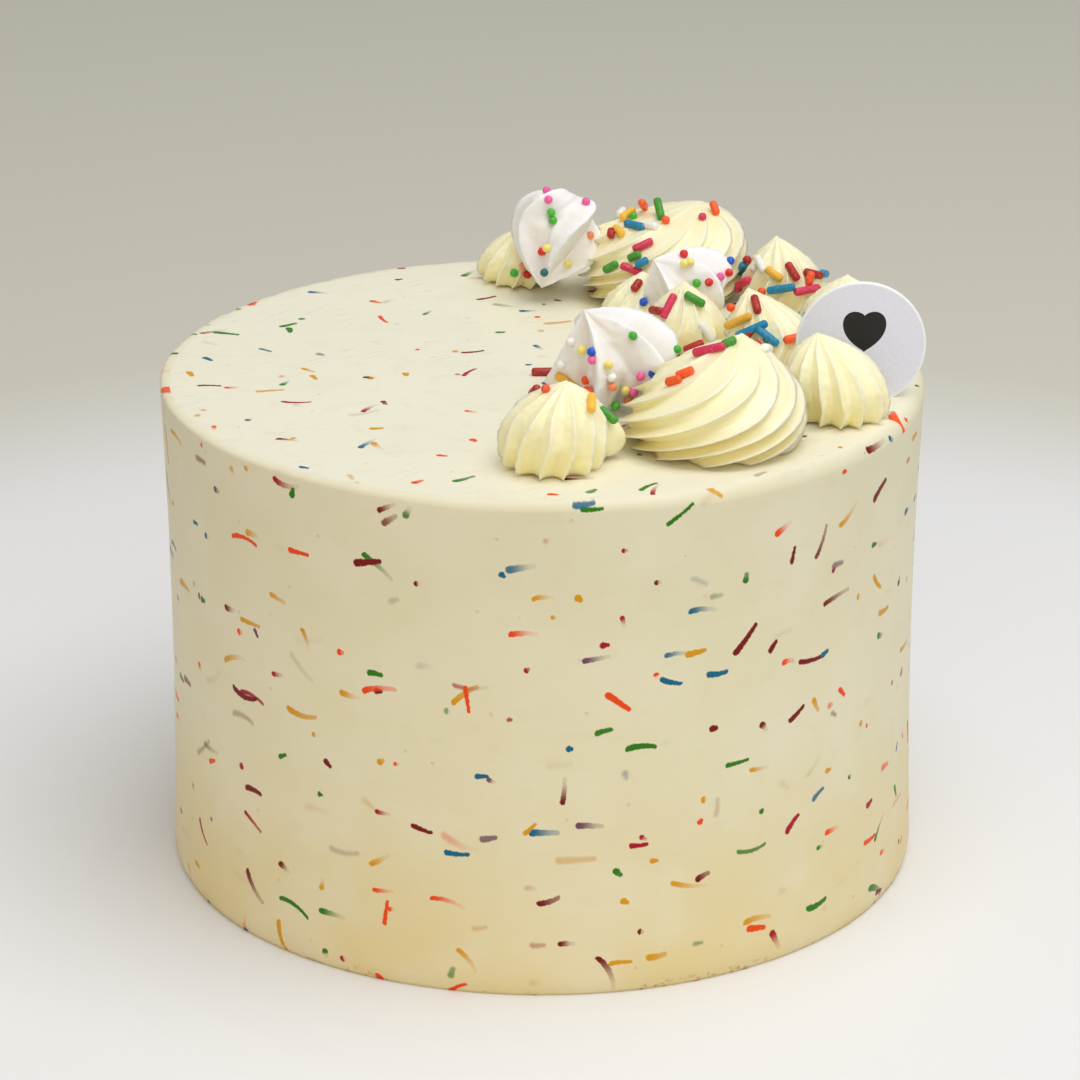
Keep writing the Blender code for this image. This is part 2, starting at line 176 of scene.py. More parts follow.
def raise_surface(tree, surface, height, distance):
    """Feed a height in millimetres to the surface as a bump."""
    bump = shade(tree, "Bump", 1.0, distance * MM)
    tree.links.new(height, bump.inputs["Height"])
    tree.links.new(bump.outputs[0], surface.inputs["Normal"])


def ringed_piece(name, segments, rings, material, point):
    """A closed skin that starts as a sphere: point(ring, column) gives the place in
    millimetres of each point of each ring, from ring 0 at the bottom pole."""
    bpy.ops.object.select_all(action="DESELECT")
    bpy.ops.mesh.primitive_uv_sphere_add(segments=segments, ring_count=rings, radius=1)
    piece = bpy.context.object
    piece.name = piece.data.name = name
    for vertex in piece.data.vertices:
        polar = math.acos(max(-1.0, min(1.0, vertex.co.z)))
        ring = round((1 - polar / math.pi) * rings)
        column = math.atan2(-vertex.co.x, vertex.co.y)
        vertex.co = point(ring, column) * MM
    piece.data.materials.append(material)
    bpy.ops.object.mode_set(mode="EDIT")
    bpy.ops.mesh.select_all(action="SELECT")
    bpy.ops.mesh.normals_make_consistent(inside=False)
    bpy.ops.object.mode_set(mode="OBJECT")
    bpy.ops.object.shade_smooth()
    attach(piece, "root")
    return piece


def cake_outline(angle):
    """The half outline of the cake at an angle round it, from the base to the top."""
    right_front = 0.5 + 0.5 * math.cos(angle + math.radians(50))
    rim = RIM_RADIUS_LEFT + (RIM_RADIUS_RIGHT - RIM_RADIUS_LEFT) * right_front ** 4
    rim += RIM_UNEVEN * noise.noise((4 * math.cos(angle), 4 * math.sin(angle), 3.1))
    points = [(0.0, 0.0), (CAKE_RADIUS - 1.6, 0.0), (CAKE_RADIUS - 0.9, 0.0),
              (CAKE_RADIUS - FOOT_CHAMFER, FOOT_CHAMFER)]
    for step in range(SIDE_RINGS):
        height = 1.2 + (CAKE_HEIGHT - rim - 1.2) * step / SIDE_RINGS
        swell = abs(height - CAKE_WAIST_HEIGHT) / (CAKE_HEIGHT - CAKE_WAIST_HEIGHT)
        foot = 0.3 * math.exp(-height / 1.2)
        points.append((CAKE_RADIUS - foot - CAKE_WAIST * (1 - min(1.0, swell) ** 2), height))
    for step in range(RIM_RINGS):
        turn = math.pi / 2 * step / (RIM_RINGS - 1)
        points.append((CAKE_RADIUS - rim + rim * math.cos(turn),
                       CAKE_HEIGHT - rim + rim * math.sin(turn)))
    for step in range(1, TOP_RINGS + 1):
        points.append(((CAKE_RADIUS - rim) * (1 - step / TOP_RINGS), CAKE_HEIGHT))
    return points


def cake_point(ring, column):
    """One point of the icing, pushed in slightly by the scraper's unevenness."""
    points = outlines.setdefault(column, cake_outline(column))
    reach, height = points[ring]
    across, up = math.cos(column), math.sin(column)
    bare = Vector((reach * across, reach * up, height))
    if height < 0.1:
        return bare
    broad = 0.5 + 0.5 * noise.noise(Vector((across * 2.2, up * 2.2, height / 60)))
    streak = 0.5 + 0.5 * noise.noise(Vector((across * 5, up * 5, height / 7)))
    ragged = noise.noise(Vector((across * 34, up * 34, 8.0)))
    back_left = max(0.0, math.cos(column - math.radians(165)))
    near_rim = height > NEAR_RIM
    edge = math.exp(-((reach - CAKE_RADIUS + 1.0) / 1.2) ** 2) if near_rim else 0.0
    chip = max(0.0, noise.noise(Vector((across * 19, up * 19, 4.0))) - 0.25)
    inward = BROAD_WAVES * broad + SCRAPER_STREAKS * streak + edge * (
        RAGGED_EDGE * abs(ragged) * (0.3 + back_left) + EDGE_CHIPS * chip * (0.2 + back_left))
    if height < 1.5:
        inward += 0.35 * (0.5 + 0.5 * noise.noise(Vector((across * 22, up * 22, 1.0))))
    if reach < CAKE_RADIUS - 5:
        inward = 0.0
    lowered = 0.0
    if near_rim:
        dish = 0.5 + 0.5 * noise.noise(Vector((bare.x / 22, bare.y / 22, 5.0)))
        lowered = TOP_DISHING * dish + edge * (0.12 * abs(ragged) * (0.4 + back_left))
    return Vector((bare.x - inward * across, bare.y - inward * up, bare.z - lowered))


def fleck_group():
    """One layer of smeared sprinkles: a square grid rolled round the cake, with at most
    one sprinkle somewhere in each cell, dark at its head and fading along its tail."""
    group, given, out = new_group(
        "smeared sprinkle layer",
        (("Place", "NodeSocketVector"), ("Cells round", "NodeSocketFloat"),
         ("Seed", "NodeSocketFloat"), ("Unevenness", "NodeSocketFloat"),
         ("On top", "NodeSocketFloat")),
        (("Mask", "NodeSocketFloat"), ("Colour", "NodeSocketColor")))
    size = sum_up(group, "DIVIDE", ICING_ROUND, given.outputs["Cells round"])
    sizes = shade(group, "CombineXYZ", size, size, 1.0).outputs[0]
    shift = shade(group, "VectorMath", (0.371, 0.617, 0.0), None, None, given.outputs["Seed"],
                  operation="SCALE").outputs[0]
    scaled = shade(group, "VectorMath", given.outputs["Place"], sizes,
                   operation="DIVIDE").outputs[0]
    moved = shade(group, "VectorMath", scaled, shift, operation="ADD").outputs[0]
    cell = shade(group, "VectorMath", moved, operation="FLOOR").outputs[0]
    inside = shade(group, "VectorMath", moved, cell, operation="SUBTRACT").outputs[0]
    cells = shade(group, "SeparateXYZ", cell)
    rolled = sum_up(group, "WRAP", cells.outputs[0], given.outputs["Cells round"], 0.0)
    key = shade(group, "CombineXYZ", rolled, cells.outputs[1], given.outputs["Seed"]).outputs[0]
    other_key = shade(group, "VectorMath", key, (17.3, 5.1, 42.7), operation="ADD").outputs[0]
    third_key = shade(group, "VectorMath", key, (3.7, 61.9, 11.2), operation="ADD").outputs[0]
    draws = []
    for chosen in (key, other_key, third_key):
        dice = shade(group, "TexWhiteNoise", chosen, noise_dimensions="3D")
        split = shade(group, "SeparateColor", dice.outputs["Color"])
        draws += [split.outputs[0], split.outputs[1], split.outputs[2]]
    right, up, turn, length, hue, strength, width, fade, bend = draws

    middle = shade(group, "CombineXYZ",
                   step_between(group, right, 0.0, 1.0, 0.3, 0.7),
                   step_between(group, up, 0.0, 1.0, 0.24, 0.76), 0.0).outputs[0]
    away = shade(group, "VectorMath", inside, middle, operation="SUBTRACT").outputs[0]
    away = shade(group, "VectorMath", away, sizes, operation="MULTIPLY").outputs[0]
    swing = sum_up(group, "MULTIPLY_ADD", turn, 2.0, -1.0)
    swing = sum_up(group, "POWER", sum_up(group, "ABSOLUTE", swing), sum_up(
        group, "MULTIPLY_ADD", given.outputs["On top"], -1.8, 3.0))
    side = sum_up(group, "SUBTRACT", 1.0,
                  sum_up(group, "MULTIPLY", 2.0, sum_up(group, "LESS_THAN", turn, 0.5)))
    angle = sum_up(group, "MULTIPLY", sum_up(group, "MULTIPLY", swing, side), 1.5)
    turned = shade(group, "VectorRotate", away, (0, 0, 0), (0, 0, 1), angle,
                   rotation_type="Z_AXIS").outputs[0]
    along_across = shade(group, "SeparateXYZ", turned)
    along, across = along_across.outputs[0], along_across.outputs[1]
    across = sum_up(group, "ADD", across, given.outputs["Unevenness"])
    curve = sum_up(group, "MULTIPLY_ADD", bend, 0.12, -0.06)
    across = sum_up(group, "MULTIPLY_ADD", sum_up(group, "MULTIPLY", along, along), curve, across)

    longest = sum_up(group, "MULTIPLY_ADD", given.outputs["On top"], -1.0, 3.6)
    reach = sum_up(group, "MULTIPLY_ADD", sum_up(group, "POWER", length, 1.4), longest, 0.1)
    tail = step_between(group, sum_up(group, "DIVIDE", along, reach), -1.0, 1.0)
    thick = sum_up(group, "MULTIPLY_ADD", width, 0.3, 0.46)
    thin = sum_up(group, "SUBTRACT", 1.0, sum_up(group, "MULTIPLY", tail, 0.3))
    thick = sum_up(group, "MULTIPLY", thick, thin)
    beyond = sum_up(group, "MAXIMUM", sum_up(
        group, "SUBTRACT", sum_up(group, "ABSOLUTE", along), reach), 0.0)
    away = sum_up(group, "SQRT", sum_up(
        group, "ADD", sum_up(group, "MULTIPLY", beyond, beyond),
        sum_up(group, "MULTIPLY", across, across)))
    strength = sum_up(group, "MULTIPLY_ADD", given.outputs["On top"], -0.22, strength)
    buried = step_between(group, strength, 0.12, 0.42, 1.0, 0.0)
    soft = sum_up(group, "MULTIPLY_ADD", buried, 0.5, 0.13)
    edge = shade(group, "MapRange", away, sum_up(group, "SUBTRACT", thick, soft),
                 sum_up(group, "ADD", thick, soft), 1.0, 0.0)
    edge.interpolation_type = "SMOOTHSTEP"
    fading = sum_up(group, "MULTIPLY", step_between(group, fade, 0.35, 0.8), tail)
    trailing = sum_up(group, "SUBTRACT", 1.0, sum_up(group, "MULTIPLY", fading, 0.85))
    shown = step_between(group, strength, 0.08, 0.42, 0.0, 1.0)
    mask = sum_up(group, "MULTIPLY", sum_up(group, "MULTIPLY", edge.outputs[0], trailing), shown)
    group.links.new(mask, out.inputs["Mask"])

    ramp = shade(group, "ValToRGB", hue)
    ramp.color_ramp.interpolation = "CONSTANT"
    for position, screen in FLECK_DYES:
        if position == FLECK_DYES[0][0]:
            stop = ramp.color_ramp.elements[0]
        elif position == FLECK_DYES[-1][0]:
            stop = ramp.color_ramp.elements[-1]
            stop.position = position
        else:
            stop = ramp.color_ramp.elements.new(position)
        stop.color = linear(*screen)
    paled = mix_colour(group, sum_up(group, "MULTIPLY", buried, 0.3), ramp.outputs[0],
                       linear(*BURIED_FLECK))
    group.links.new(paled, out.inputs["Colour"])
    return group


outlines = {}
icing, tree, surface, place = new_material(
    "confetti icing", 0.4, Specular_IOR_Level=0.22)
axes = shade(tree, "SeparateXYZ", place)
flat_place = shade(tree, "CombineXYZ", axes.outputs[0], axes.outputs[1], 0.0).outputs[0]
from_axis = shade(tree, "VectorMath", flat_place, operation="LENGTH").outputs["Value"]
round_angle = sum_up(tree, "ARCTAN2", axes.outputs[0], sum_up(
    tree, "MULTIPLY", axes.outputs[1], -1.0))
side_place = shade(tree, "CombineXYZ", sum_up(
    tree, "MULTIPLY", round_angle, CAKE_RADIUS), axes.outputs[2], 0.0).outputs[0]
on_top = sum_up(tree, "LESS_THAN", from_axis, CAKE_RADIUS - 2.0)
top_place = shade(tree, "VectorMath", flat_place, (0.0, TOP_PATTERN_SHIFT, 0.0),
                  operation="ADD").outputs[0]
chosen = shade(tree, "Mix", data_type="VECTOR")
for socket, value in zip((chosen.inputs[0], chosen.inputs[4], chosen.inputs[5]),
                         (on_top, side_place, top_place)):
    tree.links.new(value, socket)
skin_place = chosen.outputs[1]

# Painted reflection: warm bounced light painted on the lower side, fading towards the middle and
# upper side.
cream = mix_colour(tree, step_between(tree, axes.outputs[2], -6.0, 48.0),
                   linear(*ICING_FOOT_WARM_BOUNCE), linear(*ICING_MIDDLE))
cream = mix_colour(tree, step_between(tree, axes.outputs[2], 50.0, 98.0), cream,
                   linear(*ICING_UPPER))
# Painted light: the top of the cake is given a paler colour than its side.
cream = mix_colour(tree, step_between(tree, from_axis, CAKE_RADIUS - 3.0, CAKE_RADIUS - 0.8),
                   linear(*ICING_TOP_LIT), cream)
cloud = mottle(tree, place, 0.05, 2.0, 0.55)
cream = mix_colour(tree, step_between(tree, cloud, 0.35, 0.7, 0.0, 0.4), cream,
                   linear(*ICING_CLOUD))
thin_coat = mottle(tree, skin_place, 0.16, 2.0, 0.6)
cream = mix_colour(tree, step_between(tree, thin_coat, 0.52, 0.75, 0.0, 0.22), cream,
                   linear(*ICING_THIN))
layer = fleck_group()
uneven = sum_up(tree, "MULTIPLY_ADD", mottle(tree, skin_place, 1.6, 1.0), 0.44, -0.22)
for cells, seed in FLECK_LAYERS:
    flecks = tree.nodes.new("ShaderNodeGroup")
    flecks.node_tree = layer
    tree.links.new(skin_place, flecks.inputs["Place"])
    flecks.inputs["Cells round"].default_value = cells
    flecks.inputs["Seed"].default_value = seed
    tree.links.new(uneven, flecks.inputs["Unevenness"])
    tree.links.new(on_top, flecks.inputs["On top"])
    cream = mix_colour(tree, flecks.outputs["Mask"], cream, flecks.outputs["Colour"])
crumb_noise = mottle(tree, place, 0.55, 2.0, 0.65)
near_foot = step_between(tree, axes.outputs[2], 0.5, 2.2, 1.0, 0.0)
crumbs = sum_up(tree, "MULTIPLY", near_foot, step_between(tree, crumb_noise, 0.54, 0.66))
here_and_there = step_between(tree, mottle(tree, place, 0.035, 2.0), 0.42, 0.62)
crumbs = sum_up(tree, "MULTIPLY", crumbs, here_and_there)
cream = mix_colour(tree, sum_up(tree, "MULTIPLY", crumbs, 0.7), cream, linear(*SPONGE_CRUMB))
tree.links.new(cream, surface.inputs["Base Color"])
stretched = shade(tree, "VectorMath", skin_place, (0.035, 0.9, 1.0), operation="MULTIPLY")
strokes = mottle(tree, stretched.outputs[0], 0.5, 1.5, 0.6)
pocks = shade(tree, "TexVoronoi", skin_place)
pocks.inputs["Scale"].default_value = 0.16
pocks = step_between(tree, pocks.outputs["Distance"], 0.025, 0.07, 1.0, 0.0)
turned = shade(tree, "VectorRotate", flat_place, (0, 0, 0), (0, 0, 1), math.radians(-38),
               rotation_type="Z_AXIS").outputs[0]
scratched = shade(tree, "VectorMath", turned, (0.16, 1.5, 1.0), operation="MULTIPLY").outputs[0]
scratches = step_between(tree, mottle(tree, scratched, 0.7, 1.5, 0.6), 0.58, 0.76)
bare_patch = step_between(tree, mottle(tree, flat_place, 0.05, 0.0), 0.46, 0.6)
scratches = sum_up(tree, "MULTIPLY", sum_up(tree, "MULTIPLY", scratches, bare_patch), on_top)
height = sum_up(tree, "MULTIPLY_ADD", strokes, 0.35, sum_up(
    tree, "MULTIPLY", scratches, 0.5))
height = sum_up(tree, "SUBTRACT", height, sum_up(tree, "MULTIPLY", pocks, 0.8))
raise_surface(tree, surface, height, 0.22)
cake_rings = len(cake_outline(0.0)) - 1
iced_cake = ringed_piece("iced_cake_skin", CAKE_SEGMENTS, cake_rings, icing, cake_point)
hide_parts("iced_cake")

# Piped buttercream: two wide rosettes and eight stars, piped on the top with a fluted
# nozzle. The ridges are thin, the grooves between them broad, and each swirl is drawn up
# to a small peak that leans. The paler crests are painted highlight; the grooves keep the
# yellower cream colour.
SEAT_GAP = 0.3
SWIRL_ROWS = 64
SWIRL_TEXTURE = 0.12
STAR_COLUMNS = 16
CREAM_BODY = (255, 247, 208)
CREAM_PATCH = (254, 243, 196)
# Painted shade: a warmer, deeper yellow low on each swirl, where warm scattered light fills its
# shade.
CREAM_LOW_WARM_SHADE = (255, 238, 168)
# Painted highlight: the crests of the ridges are made paler than the cream.
CREAM_CREST_HIGHLIGHT = (255, 251, 222)
# A swirl is placed by at and turned by phase. Its ridges have a depth, groove, and twist
# by turn degrees; skew leans them over. Its peak moves by lean, a late one only near the
# top, and full rounds its outline.
SWIRLS = {
    "piped_star_front_left": dict(
        at=(2.2, -55.3), radius=10.6, height=16.0, ridges=13, groove=0.17, turn=10,
        lean=(2.2, 0.6), full=4.2, phase=4),
    "piped_rosette_front": dict(
        at=(32.2, -42.0), radius=18.4, height=19.6, ridges=11, groove=0.14, turn=145,
        lean=(5.6, 4.5), full=2.9, phase=0, skew=0.7),
    "piped_star_right": dict(
        at=(57.4, -27.4), radius=10.2, height=15.7, ridges=14, groove=0.17, turn=8,
        lean=(-4.6, 2.2), full=4.0, phase=10),
    "piped_star_middle": dict(
        at=(29.0, 15.0), radius=9.4, height=13.2, ridges=13, groove=0.18, turn=18,
        lean=(-0.4, 0.8), full=2.3, phase=0),
    "piped_star_centre_right": dict(
        at=(46.2, 7.0), radius=10.0, height=13.6, ridges=13, groove=0.17, turn=40,
        lean=(-5.0, 3.0), full=2.6, phase=8),
    "piped_star_far_right": dict(
        at=(61.2, 24.6), radius=9.2, height=11.8, ridges=12, groove=0.17, turn=20,
        lean=(1.0, 0.0), full=2.6, phase=3),
    "piped_star_back_right": dict(
        at=(50.6, 42.6), radius=9.8, height=14.4, ridges=13, groove=0.17, turn=24,
        lean=(-2.0, 0.6), full=2.4, phase=5),
    "piped_rosette_back": dict(
        at=(25.4, 51.4), radius=17.6, height=18.0, ridges=12, groove=0.13, turn=140,
        lean=(7.4, 5.0), full=6.5, phase=12, skew=0.7, late=2),
    "piped_star_hidden": dict(
        at=(20.6, 29.5), radius=9.0, height=10.6, ridges=12, groove=0.17, turn=25,
        lean=(0.0, 1.0), full=2.6, phase=2),
    "piped_star_back_left": dict(
        at=(-4.4, 60.2), radius=9.6, height=11.2, ridges=13, groove=0.17, turn=20,
        lean=(0.0, 0.0), full=2.8, phase=7),
}
BUD_RINGS = 24
BUD_AT = (10.7, -51.7, 4.8)
BUD_RADII = (3.7, 3.8, 4.6)


def hollow_at(swirl, column):
    """How deep a column lies in its groove: 0 on the crest of a ridge and 1 in the middle."""
    share = (swirl["ridges"] * column / math.tau) % 1.0
    hollow = max(0.0, math.sin(math.pi * share ** swirl.get("skew", 1.0)))
    return hollow ** swirl.get("crest", 0.8)


def swirl_point(swirl, column, rise, fine=1.0):
    """A point on a piped swirl's skin. The column is an angle round the foot that follows
    the ridges, and rise runs from 0 at the foot to 1 at the peak."""
    height = 1 - (1 - rise) ** 1.6
    turned = column + math.radians(swirl["turn"]) * (1 - (1 - height) ** 2)
    wander = Vector((2.1 * math.cos(column), 2.1 * math.sin(column), 2.6 * height))
    wander += Vector((swirl["at"][0], swirl["at"][1], 0.0))
    drift = fine * 0.12 * noise.noise(wander)
    groove = swirl["groove"] * (1 + 0.5 * (1 - height) ** 6)
    groove *= 1 + fine * 0.3 * noise.noise(wander * 1.7)
    groove *= 1 - swirl.get("blunt", 0.0) * (1 - height) ** 3
    fluting = 1 - groove * hollow_at(swirl, column)
    if fine:
        share = (swirl["ridges"] * column / math.tau) % 1.0
        seam = math.exp(-(min(share, 1 - share) / 0.06) ** 2)
        fluting += swirl.get("seam", 0.0) * seam - 0.007 * (1 - math.cos(3 * math.tau * share))
    foot = 1 - swirl.get("tuck", 0.1) * math.exp(-height / swirl.get("round", 0.07))
    outline = (1 - height ** swirl["full"]) ** 1.1 * foot
    uneven = 1 + 0.025 * math.sin(column + swirl["phase"]) + 0.02 * math.sin(3 * column)
    reach = swirl["radius"] * outline * fluting * uneven
    lean = height ** (2 * swirl.get("late", 1))
    angle = turned + drift + math.radians(swirl["phase"])
    return Vector((
        reach * math.cos(angle) + swirl["lean"][0] * lean,
        reach * math.sin(angle) + swirl["lean"][1] * lean,
        swirl["height"] * height))


def swirl_place(swirl):
    """Where a swirl or meringue sits: tilted, then moved onto the top of the cake."""
    compass, angle = (math.radians(value) for value in swirl.get("tilt", (0, 0)))
    hinge = Vector((-math.sin(compass), math.cos(compass), 0))
    seat = CAKE_HEIGHT + SEAT_GAP + swirl.get("lift", 0)
    return Matrix.Translation((*swirl["at"], seat)) @ Matrix.Rotation(angle, 4, hinge)


def pipe_swirl(name, swirl, material, ridge_columns):
    """One fine swirl in the place of its CAD node, with attributes that say how deep each
    point lies in its groove and how high above the foot."""
    place = swirl_place(swirl)
    depths, heights = [], []

    def point(ring, column):
        rise = max(0, ring - 1) / SWIRL_ROWS
        height = 1 - (1 - rise) ** 1.6
        depths.append(hollow_at(swirl, column) if ring else 1.0)
        heights.append(height)
        if ring == 0:
            return place @ Vector((0, 0, 0))
        spot = swirl_point(swirl, column, rise)
        torn = SWIRL_TEXTURE * (1.0 + 1.6 * (1 - depths[-1]))
        shift = noise.noise(spot * 0.8 + Vector(swirl["at"]).to_3d()) * torn
        middle = Vector((*swirl["lean"], 0)) * height ** (2 * swirl.get("late", 1))
        out = Vector((spot.x, spot.y, 0)) - middle
        if out.length > 0.3:
            spot += out.normalized() * shift
        return place @ spot

    segments = swirl["ridges"] * ridge_columns
    piece = ringed_piece(name, segments, SWIRL_ROWS + 1, material, point)
    for label, values in (("hollow", depths), ("height", heights)):
        piece.data.attributes.new(label, "FLOAT", "POINT").data.foreach_set("value", values)
    return piece


buttercream, tree, surface, place = new_material(
    "buttercream", 0.3, Subsurface_Weight=0.35, Subsurface_Scale=0.006,
    Subsurface_Radius=(1.0, 0.8, 0.35), Specular_IOR_Level=0.5)
hollow = shade(tree, "Attribute", attribute_name="hollow").outputs["Fac"]
risen = shade(tree, "Attribute", attribute_name="height").outputs["Fac"]
patch = mottle(tree, place, 0.11, 3.0)
body = mix_colour(tree, step_between(tree, patch, 0.3, 0.7), linear(*CREAM_BODY),
                  linear(*CREAM_PATCH))
# Painted shade: the lower part of each swirl and the bud is tinted deeper yellow.
body = mix_colour(tree, step_between(tree, risen, 0.0, 0.55, 0.75, 0.0), body,
                  linear(*CREAM_LOW_WARM_SHADE))
# Painted highlight: the crests of the ridges are painted paler.
body = mix_colour(tree, step_between(tree, hollow, 0.1, 0.5, 0.4, 0.0), body,
                  linear(*CREAM_CREST_HIGHLIGHT))
tree.links.new(body, surface.inputs["Base Color"])
grain = sum_up(tree, "MULTIPLY_ADD", mottle(tree, place, 1.4, 3.0, 0.6), 0.35,
               mottle(tree, place, 0.4, 2.0))
raise_surface(tree, surface, grain, 0.14)
for name, swirl in SWIRLS.items():
    piece = pipe_swirl(name + "_skin", swirl, buttercream, STAR_COLUMNS)
    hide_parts(name)


def bud_point(ring, column):
    """The small smooth bud that the nozzle left beside the front left star. It starts high
    on the star's side and hangs out to a blunt point over the icing."""
    polar = math.pi * ring / BUD_RINGS
    around, out = math.sin(polar) * math.cos(column), math.sin(polar) * math.sin(column)
    pointed = max(0.0, around) ** 3
    swell = 1 + 0.06 * math.sin(2 * column + 1.0) * math.sin(polar)
    return Vector((
        BUD_AT[0] + BUD_RADII[0] * (swell * around + 0.3 * pointed),
        BUD_AT[1] + BUD_RADII[1] * swell * out * (1 - 0.5 * pointed),
        BUD_AT[2] - BUD_RADII[2] * (math.cos(polar) + 0.3 * around)
        + CAKE_HEIGHT + SEAT_GAP))


bud = ringed_piece("buttercream_bud", 32, BUD_RINGS, buttercream, bud_point)

# Meringues: three dry, matt white kisses, piped from egg white and sugar with an open
# star nozzle and baked crisp, lying tipped over on the buttercream.
MERINGUE_COLUMNS = 28
SHELL_WHITE = (244, 242, 240)
SHELL_CREAM = (240, 235, 228)
# Painted highlight: the crests of the meringue ridges are made whiter.
SHELL_CREST_HIGHLIGHT = (248, 247, 247)
# A meringue also has a lift and a tilt, by a compass heading and an angle in degrees. Its
# foot is drawn in by tuck over the height round, where blunt makes the grooves shallower,
# and crest and seam shape the ridges.
MERINGUES = {
    "meringue_front": dict(
        at=(16.0, -20.0), lift=3.0, tilt=(222, 28), radius=14.2, height=20.6, ridges=5,
        groove=0.46, turn=44, lean=(-1.0, -0.4), full=2.2, phase=12,
        crest=1.05, tuck=0.3, seam=0.05, blunt=0.25, round=0.1),
    "meringue_back_left": dict(
        at=(5.0, 53.5), lift=19.3, tilt=(246, 142), radius=11.8, height=20.3, ridges=5,
        groove=0.46, turn=56, lean=(0.0, 0.0), full=2.9, phase=-18,
        crest=1.0, tuck=0.5, seam=0.03, blunt=0.6, round=0.16),
    "meringue_middle": dict(
        at=(32.4, 27.0), lift=5.0, tilt=(205, 42), radius=11.0, height=15.0, ridges=5,
        groove=0.36, turn=40, lean=(-1.0, 0.0), full=2.3, phase=12,
        crest=1.15, tuck=0.3, seam=0.03, blunt=0.3, round=0.1),
}
meringue, tree, surface, place = new_material(
    "meringue", 0.8, Subsurface_Weight=0.15, Subsurface_Scale=0.002,
    Subsurface_Radius=(1.0, 0.9, 0.8), Specular_IOR_Level=0.3)
patch = mottle(tree, place, 0.14, 3.0)
hollow = shade(tree, "Attribute", attribute_name="hollow").outputs["Fac"]
shell = mix_colour(tree, step_between(tree, patch, 0.3, 0.7), linear(*SHELL_WHITE),
                   linear(*SHELL_CREAM))
# Painted highlight: the meringue crests are painted whiter.
shell = mix_colour(tree, step_between(tree, hollow, 0.1, 0.6, 1.0, 0.0), shell,
                   linear(*SHELL_CREST_HIGHLIGHT))
tree.links.new(shell, surface.inputs["Base Color"])
grain = sum_up(tree, "MULTIPLY_ADD", mottle(tree, place, 2.4, 3.0, 0.65), 0.35,
               mottle(tree, place, 0.35, 2.0))
raise_surface(tree, surface, grain, 0.12)
for name, swirl in MERINGUES.items():
    piece = pipe_swirl(name + "_skin", swirl, meringue, MERINGUE_COLUMNS)
    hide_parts(name)

# Sprinkles: sugar rods and small sugar balls in mixed colours, scattered over the
# crescent and pressed lightly into it, two rods on the bare icing and one on the bud.
ROD_RADIUS = 0.85
ROD_SIDES = 14
ROD_END_ROUNDING = 0.6
ROD_BOW = 0.05
BALL_RADIUS = 0.88
SUGAR_WOBBLE = 0.09
SPRINKLE_SINK = 0.3
WORN_SUGAR = (255, 246, 236)
WIDE_SWIRL = 14.0
ROD_COLOURS = dict(
    brown=(176, 30, 18), raspberry=(224, 46, 90), orange=(254, 94, 28),
    yellow=(250, 192, 58), green=(64, 154, 36), teal=(8, 134, 178), white=(250, 248, 240))
BALL_COLOURS = dict(
    orange=(252, 88, 28), green=(72, 188, 48), yellow=(252, 234, 128), teal=(20, 110, 110),
    white=(250, 248, 242), red=(226, 32, 28), pink=(250, 104, 172), blue=(0, 92, 214),
    peach=(252, 150, 96), raspberry=(214, 50, 90))
